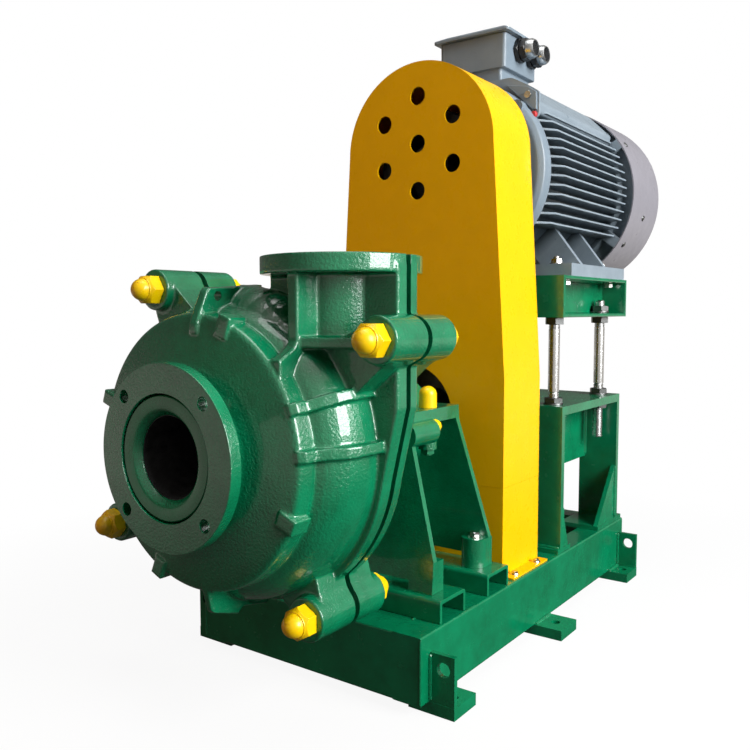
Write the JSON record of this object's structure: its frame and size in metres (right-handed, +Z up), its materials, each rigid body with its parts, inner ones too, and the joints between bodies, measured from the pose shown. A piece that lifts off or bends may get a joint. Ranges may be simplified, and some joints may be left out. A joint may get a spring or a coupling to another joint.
{
  "type": "slurry pump",
  "caption": "Horizontal slurry pump with a split volute casing, driven by belts from an electric motor on a height-adjustable platform over the skid.",
  "frame": {"origin": "on the ground, midway along the set, under the pump shaft's axis", "axes": "+Z up; the shafts run along Y and the suction flange faces -Y; +X towards the discharge branch"},
  "size_m": [0.5234, 1.2336, 1.039],
  "materials": {
    "green_enamel": "gloss",
    "yellow_paint": "gloss",
    "yellow_plastic": "gloss",
    "motor_paint": "satin",
    "cowl_paint": "satin",
    "zinc_plated_steel": "satin",
    "grey_iron": "matte",
    "black_rubber": "matte",
    "bronze": "satin",
    "black_plastic": "matte"
  },
  "bodies": {
    "base": {"back_liner": "grey_iron", "bearing_housing": "green_enamel", "bolt_cap_front_lower_left": "yellow_plastic", "bolt_cap_front_lower_right": "yellow_plastic", "bolt_cap_front_upper_left": "yellow_plastic", "bolt_cap_front_upper_right": "yellow_plastic", "bolt_cap_rear_lower_left": "yellow_plastic", "bolt_cap_rear_lower_right": "yellow_plastic", "bolt_cap_rear_upper_left": "yellow_plastic", "bolt_cap_rear_upper_right": "yellow_plastic", "casing_bolt_lower_left": "zinc_plated_steel", "casing_bolt_lower_right": "zinc_plated_steel", "casing_bolt_upper_left": "zinc_plated_steel", "casing_bolt_upper_right": "zinc_plated_steel", "clamp_bolt_left": "zinc_plated_steel", "clamp_bolt_right": "zinc_plated_steel", "clamp_cap_left": "yellow_plastic", "clamp_cap_right": "yellow_plastic", "front_bearing": "zinc_plated_steel", "front_casing": "green_enamel", "front_end_cover": "green_enamel", "front_support_channel": "green_enamel", "gland_packing": "black_rubber", "guard_back": "yellow_paint", "guard_base": "yellow_paint", "guard_cover": "yellow_paint", "motor_stand": "green_enamel", "pump_frame": "green_enamel", "rear_bearing": "zinc_plated_steel", "rear_casing": "green_enamel", "rear_end_cover": "green_enamel", "rear_support_channel": "green_enamel", "skid_frame": "green_enamel", "stuffing_box": "green_enamel", "throatbush": "green_enamel", "v_belt_1": "black_rubber", "v_belt_2": "black_rubber", "v_belt_3": "black_rubber", "volute_liner": "black_rubber"},
    "motor_platform": {"cable_gland_1": "black_plastic", "cable_gland_2": "black_plastic", "drive_end_shield": "motor_paint", "fan_cowl": "cowl_paint", "fan_end_shield": "motor_paint", "jacking_rod_front_left": "zinc_plated_steel", "jacking_rod_front_right": "zinc_plated_steel", "jacking_rod_rear_left": "zinc_plated_steel", "jacking_rod_rear_right": "zinc_plated_steel", "motor_frame": "motor_paint", "motor_platform": "green_enamel", "terminal_box": "motor_paint", "terminal_lid": "motor_paint"},
    "motor_rotor": {"motor_fan": "black_plastic", "motor_pulley": "grey_iron", "motor_rotor": "zinc_plated_steel"},
    "pump_rotor": {"impeller": "grey_iron", "pump_pulley": "grey_iron", "pump_shaft": "zinc_plated_steel", "shaft_sleeve": "zinc_plated_steel"},
    "gland": {"gland": "bronze"}
  },
  "joints": [
    {"name": "platform_jack", "type": "slide", "parent": "base", "child": "motor_platform", "axis": [0, 0, 1], "range_m": [-0.02, 0.015], "deforming": ["v_belt_1", "v_belt_2", "v_belt_3"]},
    {"name": "motor_spin", "type": "hinge", "parent": "motor_platform", "child": "motor_rotor", "pos_m": [0.0165, -0.0245, 0.7773], "axis": [0, 1, 0], "continuous": true},
    {"name": "pump_spin", "type": "hinge", "parent": "base", "child": "pump_rotor", "pos_m": [0, -0.0245, 0.362], "axis": [0, 1, 0], "continuous": true},
    {"name": "gland_slide", "type": "slide", "parent": "base", "child": "gland", "axis": [0, 1, 0], "range_m": [0, 0.008]}
  ],
  "couplings": [
    {"joint": "pump_spin", "follows": "motor_spin", "ratio": 0.80508}
  ]
}
